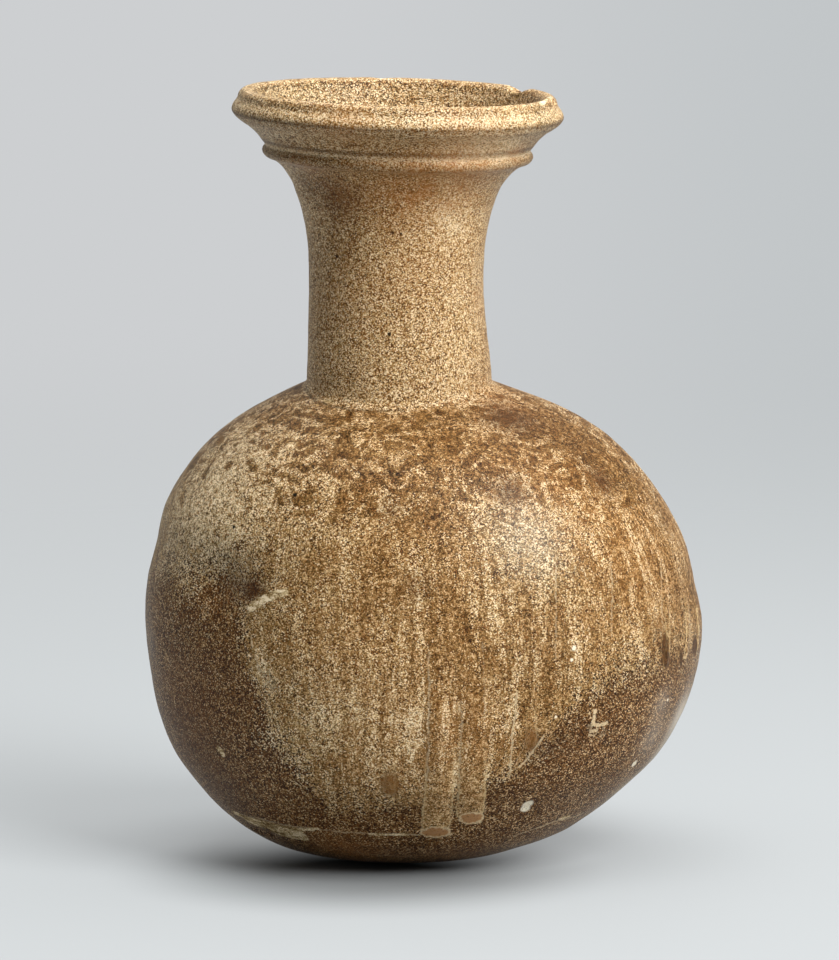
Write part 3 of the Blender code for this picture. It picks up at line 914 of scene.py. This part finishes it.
CLAY_TONES = (
    (0.0, (26, 8, 0)),
    (0.35, (56, 29, 5)),
    (0.60, (91, 57, 20)),
    (0.78, (132, 92, 46)),
    (0.92, (186, 148, 98)),
    (1.0, (240, 210, 164)),
)
KHAKI_TONES = (
    (0.0, (44, 27, 8)),
    (0.25, (100, 75, 38)),
    (0.50, (156, 129, 86)),
    (0.75, (202, 178, 132)),
    (1.0, (242, 224, 190)),
)
GOLD_TONES = (
    (0.0, (70, 37, 8)),
    (0.25, (124, 82, 33)),
    (0.50, (178, 137, 81)),
    (0.75, (218, 184, 130)),
    (1.0, (247, 228, 190)),
)
OLIVE_TONES = (
    (0.0, (34, 20, 3)),
    (0.30, (78, 54, 20)),
    (0.55, (116, 86, 42)),
    (0.80, (160, 128, 78)),
    (1.0, (216, 188, 140)),
)
AMBER_TONES = (
    (0.0, (44, 24, 4)),
    (0.30, (92, 62, 24)),
    (0.55, (130, 94, 48)),
    (0.80, (172, 132, 82)),
    (1.0, (224, 192, 146)),
)
RUN_OUTLINE = tone(214, 188, 140)
DARK_LINE = tone(40, 28, 12)
PALE_LINE = tone(228, 204, 162)
PIT = tone(14, 9, 5)
FLECK = tone(240, 230, 206)
# the tone of dirt and of painted shade
DIRT_AND_SHADE = tone(58, 34, 12)
IRON = tone(160, 100, 44)
PEPPER = tone(34, 20, 6)
# the tone of the painted silvery reflection
PAINTED_REFLECTION = tone(212, 202, 186)
SHEEN = (0.95, 0.88, 0.76, 1.0)
# The ends of runs: ovals as x, y and half sizes in pixels, the tones of the middle and of the ring
# round it, and how plainly they show.
RUN_ENDS = (
    (((436, 832, 13, 5.5), (471.5, 818, 11, 6)), tone(170, 120, 72), tone(226, 202, 160), 0.9),
    (((390, 784, 9, 12), (531, 740, 6, 11)), tone(122, 82, 38), tone(92, 60, 24), 0.6),
    (((665, 650, 3.4, 15), (667, 660, 2.8, 10), (681, 658, 1.6, 9), (695, 646, 2.6, 10)),
     tone(62, 38, 12), tone(88, 60, 26), 0.72),
)
END_DEPTH = 60  # half the size of each oval into the wall, in pixels


class Grain:
    """The noises that the whole finish shares, from single sand grains up to broad patches."""

    def __init__(self, n):
        self.n = n
        self.sand = n.grains(0.34 * MM)
        self.kind = n.grains(0.34 * MM, "Green")  # what mineral each grain is
        self.dust = n.grains(0.25 * MM)
        self.fine = n.noise(0.34 * MM, 1.0, 0.6)
        self.granules = n.noise(1.5 * MM, 2.0, 0.6)
        self.clumps = n.noise(4.2 * MM, 3.0, 0.6)
        self.broad = n.noise(13 * MM, 2.0, 0.6, warp=0.4)
        self.pools = n.noise(7.5 * MM, 2.0, 0.5, warp=0.6)
        down = n.field("down_the_wall", "Vector")
        self.streaks = n.noise(3.4 * MM, 2.0, 0.5, down)
        self.dashes = n.noise(0.6 * MM, 1.0, 0.5, down)

    def swing(self, **amounts):
        """A sum of these noises, each swinging by its amount either side of 0."""
        return self.n.plus(*[self.n.off(getattr(self, name), amount) for name, amount in amounts.items()])


def melted(n, grain):
    """How far the ash has melted: pools with pale threads on the shoulder, and streaks further down."""
    pooling, drawn = n.field("pooling"), n.field("drawn")
    threads = n.plus(n.times(n.math("ABSOLUTE", n.off(grain.pools, 1.0)), 5.5), -0.33)
    running = n.without(n.without(n.plus(0.25, drawn), pooling), n.field("neck"))
    streaked = n.times(grain.swing(streaks=2.2), running)
    beads = n.plus(grain.swing(granules=2.4, fine=0.4), n.times(grain.swing(dashes=1.8), drawn))
    beads = n.times(beads, n.plus(1.0, n.times(pooling, -0.35)))
    patches = grain.swing(broad=1.0, clumps=1.4)
    return n.plus(n.field("glass"), n.times(pooling, threads), streaked, patches, beads)


def bare_clay(n, grain):
    """Dark clay, full of pale sand."""
    return n.ramp(n.plus(grain.sand, grain.swing(dust=0.5, granules=0.3, clumps=0.4)), CLAY_TONES)


def dry_ash(n, grain, salt):
    """Grains of ash, khaki on the left and golden on the right, with darker lanes where it ran."""
    smoother = n.plus(1.0, n.times(n.field("neck"), -0.55))
    clumped = n.times(grain.swing(granules=1.9, clumps=0.5), smoother)
    lanes = n.times(grain.swing(streaks=-0.8), n.field("drawn"))
    value = n.plus(n.field("light"), salt, clumped, lanes)
    golden = n.plus(n.field("warmth"), grain.swing(kind=1.2))
    return n.mix(golden, n.ramp(value, KHAKI_TONES), n.ramp(value, GOLD_TONES))


def melted_ash(n, grain, salt, in_run):
    """Glassy ash, in patches of olive and of amber."""
    patchy = n.plus(grain.swing(granules=1.5, clumps=0.9), n.times(n.field("pooling"), -0.14))
    value = n.plus(0.48, n.times(salt, 0.6), patchy, n.times(in_run, 0.16))
    hue = n.step(n.plus(grain.swing(broad=1.6), n.field("warmth")), 0.0, 1.3)
    return n.mix(hue, n.ramp(value, OLIVE_TONES), n.ramp(value, AMBER_TONES))


def glaze_colour(n, grain, in_run):
    """Sandy clay, the ash that speckles it, and the amber and olive glass that the ash has melted to."""
    salt = grain.swing(sand=1.05, dust=0.85, fine=0.3)
    melting = n.plus(melted(n, grain), n.times(in_run, 0.25))
    softness = n.plus(0.05, n.times(n.field("pooling"), 0.12))
    glassy = n.step(melting, n.times(softness, -1.0), softness)
    colour = n.mix(glassy, dry_ash(n, grain, salt), melted_ash(n, grain, salt, in_run))
    speckle = grain.swing(granules=0.55, sand=1.05, clumps=0.9)
    hidden = n.plus(n.field("cover"), speckle, n.times(in_run, 2.5))
    return n.mix(n.step(hidden, -0.06, 0.08), bare_clay(n, grain), colour)


def runs_of_glaze(n, grain):
    """Where the runs carry glaze over the bare clay, and where their pale outline is."""
    waver = grain.swing(fine=0.6 * MM, granules=1.4 * MM, clumps=2.2 * MM)
    edge = n.plus(n.field("run_edge"), waver)
    off_glaze = n.step(n.field("glaze_reach"), 22 * MM, 4 * MM)
    in_run = n.times(n.step(edge, 0.2 * MM, -0.3 * MM), off_glaze)
    outline = n.times(n.step(edge, -0.6 * MM, -0.1 * MM), n.step(edge, 0.4 * MM, 0.0))
    return in_run, n.times(outline, off_glaze)


def with_run_ends(n, skin, colour, grain):
    """The ends of some runs, each an oval of one tone with a ring of another."""
    for ovals, middle, ring, strength in RUN_ENDS:
        for x, y, half_width, half_height in ovals:
            away = n.add("ShaderNodeVectorMath", {0: n.place, 1: skin.at(x, y)}, operation="SUBTRACT")
            sizes = [1 / (size * PIXEL) for size in (half_width, END_DEPTH, half_height)]
            scaled = n.add("ShaderNodeVectorMath", {0: away, 1: sizes}, operation="MULTIPLY")
            far = n.add("ShaderNodeVectorMath", {0: scaled}, output="Value", operation="LENGTH")
            far = n.plus(far, grain.swing(granules=1.0))
            grainy = n.plus(strength, grain.swing(sand=1.2 * (1 - strength)))
            colour = n.mix(n.times(n.step(far, 1.30, 1.1), n.times(grainy, grainy)), colour, ring)
            colour = n.mix(n.times(n.step(far, 1.05, 0.85), grainy), colour, middle)
    return colour


def along_lines(n, grain):
    """1 within a scratch, a crack or a seam, and 0 away from them."""
    across = n.plus(n.field("line_across"), grain.swing(clumps=1.8 * MM))
    squares = n.plus(n.math("POWER", across, 2.0), n.math("POWER", n.field("line_past"), 2.0))
    rough = grain.swing(granules=1.2 * MM, fine=1.0 * MM)
    outside = n.math("SUBTRACT", n.plus(n.math("SQRT", squares), rough), n.field("line_width"))
    return n.step(outside, 0.12 * MM, -0.12 * MM)


def with_lines(n, colour, on_line):
    pale = n.field("line_pale")
    plainness = n.plus(0.45, n.times(pale, 0.42))
    return n.mix(n.times(on_line, plainness), colour, n.mix(pale, DARK_LINE, PALE_LINE))


def with_spots(n, skin, colour, grain):
    """The black pits, white flecks and small chips."""
    for spots, spot_colour in ((PITS, PIT), (FLECKS, FLECK)):
        for x, y, radius in spots:
            far = n.plus(n.distance(skin.at(x, y)), grain.swing(granules=0.6 * MM))
            colour = n.mix(n.step(far, radius * PIXEL * 1.2, radius * PIXEL * 0.7), colour, spot_colour)
    return colour


def with_stains(n, colour, grain):
    """Dirt and painted shade, iron in patches and single grains, black grains, a painted silvery reflection.
    """
    uneven = n.plus(1.0, grain.swing(granules=1.2, sand=0.4))
    colour = n.mix(n.times(n.field("shade"), uneven), colour, DIRT_AND_SHADE)
    rust = n.times(n.field("rust"), n.plus(1.0, grain.swing(clumps=2.4, granules=1.6)))
    colour = n.mix(n.plus(rust, n.times(n.step(grain.kind, 0.80, 0.90), 0.34)), colour, IRON)
    colour = n.mix(n.times(n.step(grain.kind, 0.07, 0.04), 0.6), colour, PEPPER)
    return n.mix(n.field("painted_reflection"), colour, PAINTED_REFLECTION)


def with_breaks(n, colour, grain, broken):
    """Fresh sandy clay, ridged where it tore, wherever the surface is broken."""
    flattened = n.add("ShaderNodeMapping", {0: n.place, "Scale": (0.35, 0.35, 1.6)})
    ridges = n.off(n.noise(1.6 * MM, 1.0, 0.5, flattened), 1.5)
    value = n.plus(n.field("light"), 0.26, grain.swing(sand=0.6, granules=0.8), ridges)
    return n.mix(n.times(broken, 0.92), colour, n.ramp(value, KHAKI_TONES))


def stoneware(skin):
    """Sandy clay under natural ash glaze: speckled, pooled on the shoulder and run down the sides."""
    material = bpy.data.materials.new("stoneware_ash_glaze")
    material.use_nodes = True
    n = Nodes(material.node_tree)
    shader = material.node_tree.nodes["Principled BSDF"]
    grain = Grain(n)
    in_run, outline = runs_of_glaze(n, grain)
    on_line = along_lines(n, grain)
    broken = n.step(n.plus(n.field("break_edge"), grain.swing(granules=1.4 * MM)), 0.2 * MM, -0.2 * MM)

    colour = glaze_colour(n, grain, in_run)
    colour = n.mix(n.times(outline, 0.6), colour, RUN_OUTLINE)
    colour = with_run_ends(n, skin, colour, grain)
    colour = with_lines(n, colour, on_line)
    colour = with_spots(n, skin, colour, grain)
    colour = with_stains(n, colour, grain)
    colour = with_breaks(n, colour, grain, broken)

    roughness = n.plus(0.46, grain.swing(fine=0.3), n.times(in_run, -0.16), n.times(broken, 0.3))
    sandy = n.plus(grain.fine, n.times(grain.sand, 0.3), n.times(grain.granules, 1.2))
    bump_height = n.plus(sandy, n.times(on_line, -2.0))
    bump = n.add("ShaderNodeBump", {"Strength": 0.6, "Distance": 0.12 * MM, "Height": bump_height})
    sheen = n.times(n.step(n.field("cover"), 0.1, -0.3), 0.08)
    values = {"Base Color": colour, "Roughness": roughness, "Normal": bump, "Sheen Weight": sheen}
    for name, value in values.items():
        material.node_tree.links.new(value, shader.inputs[name])
    shader.inputs["Specular IOR Level"].default_value = 0.14
    shader.inputs["Sheen Roughness"].default_value = 0.22
    shader.inputs["Sheen Tint"].default_value = SHEEN
    return material


# The stand and the light.
STAND_RADIUS = 1.6
STAND_FADE = 0.25  # from here out the stand turns into the backdrop
STAND_COLOUR = tone(129, 132, 133)
STAND_GLOW = 0.31  # the stand shines a little by itself, which keeps the shadow thin
GLOW_MIDDLE = (-0.014, -0.045, 0.0)  # round here, under the bottle, it doesn't
GLOW_FROM = 0.022
GLOW_TO = 0.082
BACKDROP_LEFT = tone(205, 207, 209)
BACKDROP_RIGHT = tone(194, 198, 200)
LIGHT_BEHIND = 0.42  # what the pale backdrop gives
LIGHT_IN_FRONT = 0.12


def make_stand():
    """A plain pale disc that the bottle stands on, faded out at its edge."""
    mesh = bpy.data.meshes.new("stand")
    corners = [(math.cos(a), math.sin(a)) for a in np.linspace(0, math.tau, 64, endpoint=False)]
    mesh.from_pydata([(x * STAND_RADIUS, y * STAND_RADIUS, 0.0) for x, y in corners], [], [tuple(range(64))])
    stand = bpy.data.objects.new("stand", mesh)
    bpy.context.scene.collection.objects.link(stand)
    material = bpy.data.materials.new("pale_stand")
    material.use_nodes = True
    n = Nodes(material.node_tree)
    shader = material.node_tree.nodes["Principled BSDF"]
    shader.inputs["Base Color"].default_value = STAND_COLOUR
    shader.inputs["Roughness"].default_value = 0.9
    shader.inputs["Specular IOR Level"].default_value = 0.1
    faded = n.step(n.distance((0.0, 0.0, 0.0)), STAND_FADE, STAND_RADIUS * 0.9)
    glow = n.times(n.step(n.distance(GLOW_MIDDLE), GLOW_FROM, GLOW_TO), STAND_GLOW)
    shader.inputs["Emission Color"].default_value = (0.94, 0.98, 1.0, 1.0)
    material.node_tree.links.new(glow, shader.inputs["Emission Strength"])
    clear = n.add("ShaderNodeBsdfTransparent", {})
    mixed = n.add("ShaderNodeMixShader", {0: faded, 1: shader.outputs[0], 2: clear})
    output = material.node_tree.nodes["Material Output"]
    material.node_tree.links.new(mixed, output.inputs["Surface"])
    mesh.materials.append(material)


def make_world():
    """Dim light from the room in front and more from behind, where the camera sees a pale backdrop."""
    world = bpy.data.worlds.new("studio")
    bpy.context.scene.world = world
    world.use_nodes = True
    tree = world.node_tree
    n = Nodes(tree)
    way = n.add("ShaderNodeTexCoord", {}, output="Generated")
    depth = n.add("ShaderNodeSeparateXYZ", {0: way}, output="Y")
    glow = n.plus(LIGHT_IN_FRONT, n.times(n.step(depth, -0.3, 0.7), LIGHT_BEHIND - LIGHT_IN_FRONT))
    room = n.add("ShaderNodeBackground", {"Color": (1.0, 0.99, 0.97, 1.0), "Strength": glow})
    across = n.step(n.add("ShaderNodeSeparateXYZ", {0: way}, output="X"), -0.02, 0.05)
    backdrop = n.add("ShaderNodeBackground", {"Color": n.mix(across, BACKDROP_LEFT, BACKDROP_RIGHT)})
    seen = n.add("ShaderNodeLightPath", {}, output="Is Camera Ray")
    mixed = n.add("ShaderNodeMixShader", {0: seen, 1: room, 2: backdrop})
    tree.links.new(mixed, tree.nodes["World Output"].inputs["Surface"])


def make_light(name, turn, rise, distance, size, power, colour=(1.0, 1.0, 1.0)):
    """A square soft light aimed at the bottle, turned to the right of the camera and raised."""
    light = bpy.data.lights.new(name, "AREA")
    light.shape = "SQUARE"
    light.size = size
    light.energy = power
    light.color = colour
    lamp = bpy.data.objects.new(name, light)
    turn, rise = math.radians(turn), math.radians(rise)
    way = Vector((math.sin(turn) * math.cos(rise), -math.cos(turn) * math.cos(rise), math.sin(rise)))
    lamp.location = CAMERA_AIM + way * distance
    lamp.rotation_euler = way.to_track_quat("Z", "Y").to_euler()
    lamp.visible_camera = False
    bpy.context.scene.collection.objects.link(lamp)


def make_camera():
    """The photograph's own view: level with the neck from far off, looking slightly down."""
    camera = bpy.data.cameras.new("camera")
    camera.sensor_width = SENSOR
    camera.lens = SENSOR * CAMERA_DISTANCE / (PHOTO_HEIGHT * PIXEL)
    holder = bpy.data.objects.new("camera", camera)
    holder.location = camera_place()
    holder.rotation_euler = (math.pi / 2 - CAMERA_ELEVATION, 0.0, 0.0)
    bpy.context.scene.collection.objects.link(holder)
    bpy.context.scene.camera = holder


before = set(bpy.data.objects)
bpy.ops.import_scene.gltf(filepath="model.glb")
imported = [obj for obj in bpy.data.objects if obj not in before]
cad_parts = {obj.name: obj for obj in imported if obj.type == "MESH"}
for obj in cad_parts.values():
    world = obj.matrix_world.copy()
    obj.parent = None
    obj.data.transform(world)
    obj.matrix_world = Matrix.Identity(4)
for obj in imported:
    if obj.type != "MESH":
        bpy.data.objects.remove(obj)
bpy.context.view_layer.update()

bottle, skin = build_skin()
keep_fields(bottle, skin)
bottle.data.materials.append(stoneware(skin))
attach(bottle, "root")
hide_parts("vessel")

make_stand()
make_world()
make_light("key", 47, 40, 1.8, 1.1, 46)
make_light("top", 160, 84, 2.0, 2.0, 46)
make_camera()
bpy.context.scene.view_settings.view_transform = "Standard"
